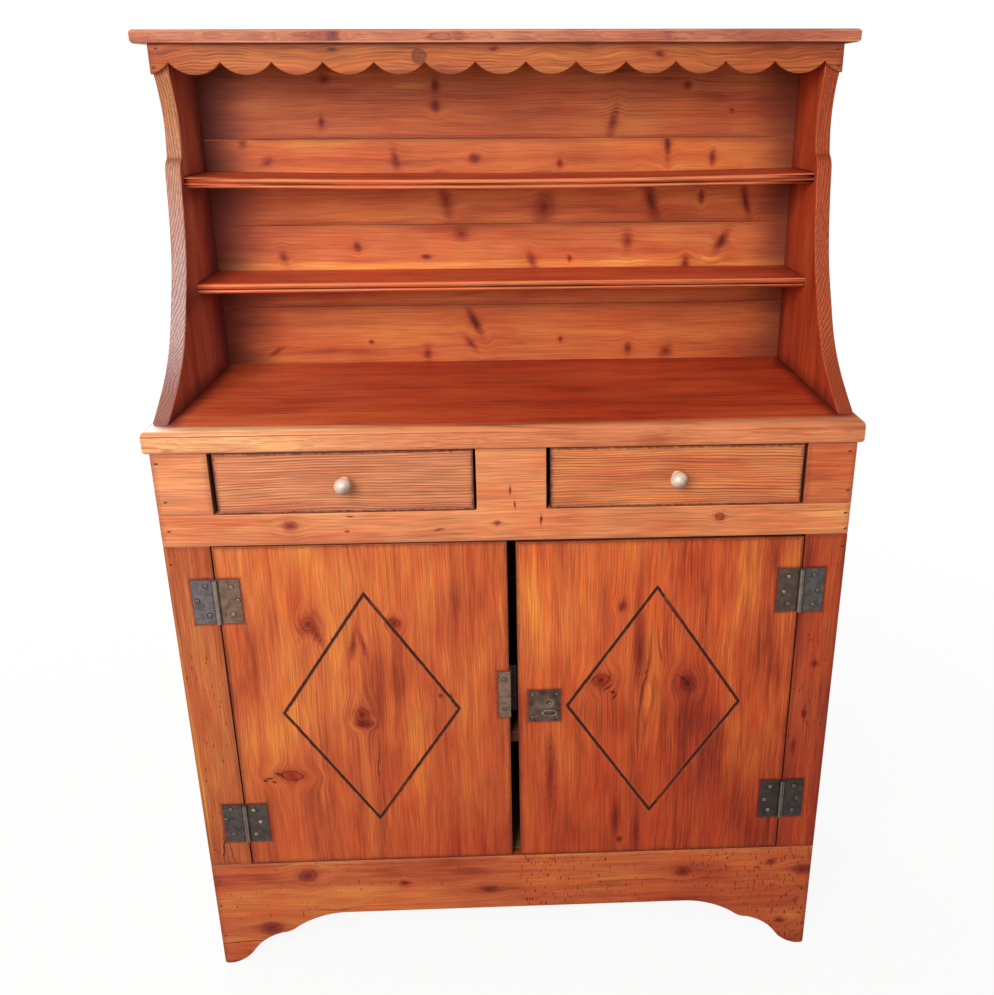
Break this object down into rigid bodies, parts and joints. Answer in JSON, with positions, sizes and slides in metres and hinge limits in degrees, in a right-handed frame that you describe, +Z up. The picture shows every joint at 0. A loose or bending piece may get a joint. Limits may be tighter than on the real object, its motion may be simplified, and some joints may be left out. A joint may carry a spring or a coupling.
{
  "type": "china cabinet",
  "caption": "Rustic pine dresser: a cupboard base with lozenge-cut doors and drawers under an open plate rack with a scalloped valance.",
  "frame": {"origin": "centre of the overall footprint, on the floor", "axes": "+Z up, +X to the right seen from the front, the front faces -Y"},
  "size_m": [1.04, 0.431, 1.4733],
  "materials": {
    "waxed_pine": "stained and waxed pine, satin, with knots and wear",
    "forged_iron": "dark brown forged iron, dull",
    "aged_brass": "aged brass, mottled"
  },
  "bodies": {
    "base": {"base_back_plank_1": "waxed_pine", "base_back_plank_2": "waxed_pine", "base_back_plank_3": "waxed_pine", "base_back_plank_4": "waxed_pine", "base_side_left": "waxed_pine", "base_side_right": "waxed_pine", "bottom_board": "waxed_pine", "cornice_board": "waxed_pine", "counter_top": "waxed_pine", "drawer_post_left": "waxed_pine", "drawer_post_right": "waxed_pine", "drawer_rail": "waxed_pine", "drawer_runner_centre": "waxed_pine", "drawer_runner_left": "waxed_pine", "drawer_runner_right": "waxed_pine", "frame_hinge_leaves": "forged_iron", "hinge_pins": "forged_iron", "inner_shelf": "waxed_pine", "plinth_board": "waxed_pine", "rack_back_plank_1": "waxed_pine", "rack_back_plank_2": "waxed_pine", "rack_back_plank_3": "waxed_pine", "rack_back_plank_4": "waxed_pine", "rack_shelf_lower": "waxed_pine", "rack_shelf_upper": "waxed_pine", "rack_side_left": "waxed_pine", "rack_side_right": "waxed_pine", "shelf_cleats": "waxed_pine", "stile_left": "waxed_pine", "stile_right": "waxed_pine", "valance": "waxed_pine"},
    "left_drawer": {"left_drawer_back": "waxed_pine", "left_drawer_bottom": "waxed_pine", "left_drawer_front": "waxed_pine", "left_drawer_knob": "aged_brass", "left_drawer_side_left": "waxed_pine", "left_drawer_side_right": "waxed_pine"},
    "right_drawer": {"right_drawer_back": "waxed_pine", "right_drawer_bottom": "waxed_pine", "right_drawer_front": "waxed_pine", "right_drawer_knob": "aged_brass", "right_drawer_side_left": "waxed_pine", "right_drawer_side_right": "waxed_pine"},
    "left_door": {"left_door_board_inner": "waxed_pine", "left_door_board_outer": "waxed_pine", "left_door_hinge_leaves": "forged_iron", "left_door_ledges": "waxed_pine", "lock_keep": "forged_iron"},
    "right_door": {"right_door_board_inner": "waxed_pine", "right_door_board_outer": "waxed_pine", "right_door_hinge_leaves": "forged_iron", "right_door_ledges": "waxed_pine", "lock_plate": "forged_iron", "lock_case": "forged_iron"},
    "lock_bolt": {"lock_bolt": "forged_iron"},
    "ring_pull": {"ring_pull": "forged_iron"}
  },
  "joints": [
    {"name": "left_door_hinge", "type": "hinge", "parent": "base", "child": "left_door", "pos_m": [-0.4325, -0.18805, 0.4915], "axis": [0, 0, -1], "range_deg": [0, 170]},
    {"name": "right_door_hinge", "type": "hinge", "parent": "base", "child": "right_door", "pos_m": [0.4365, -0.18805, 0.4915], "axis": [0, 0, 1], "range_deg": [0, 170]},
    {"name": "left_drawer_slide", "type": "slide", "parent": "base", "child": "left_drawer", "axis": [0, -1, 0], "range_m": [0, 0.25]},
    {"name": "right_drawer_slide", "type": "slide", "parent": "base", "child": "right_drawer", "axis": [0, -1, 0], "range_m": [0, 0.25]},
    {"name": "lock_bolt_slide", "type": "slide", "parent": "right_door", "child": "lock_bolt", "axis": [-1, 0, 0], "range_m": [0, 0.02]},
    {"name": "ring_pull_swing", "type": "hinge", "parent": "right_door", "child": "ring_pull", "pos_m": [0.057, -0.1895, 0.4914], "axis": [-1, 0, 0], "range_deg": [0, 130]}
  ]
}
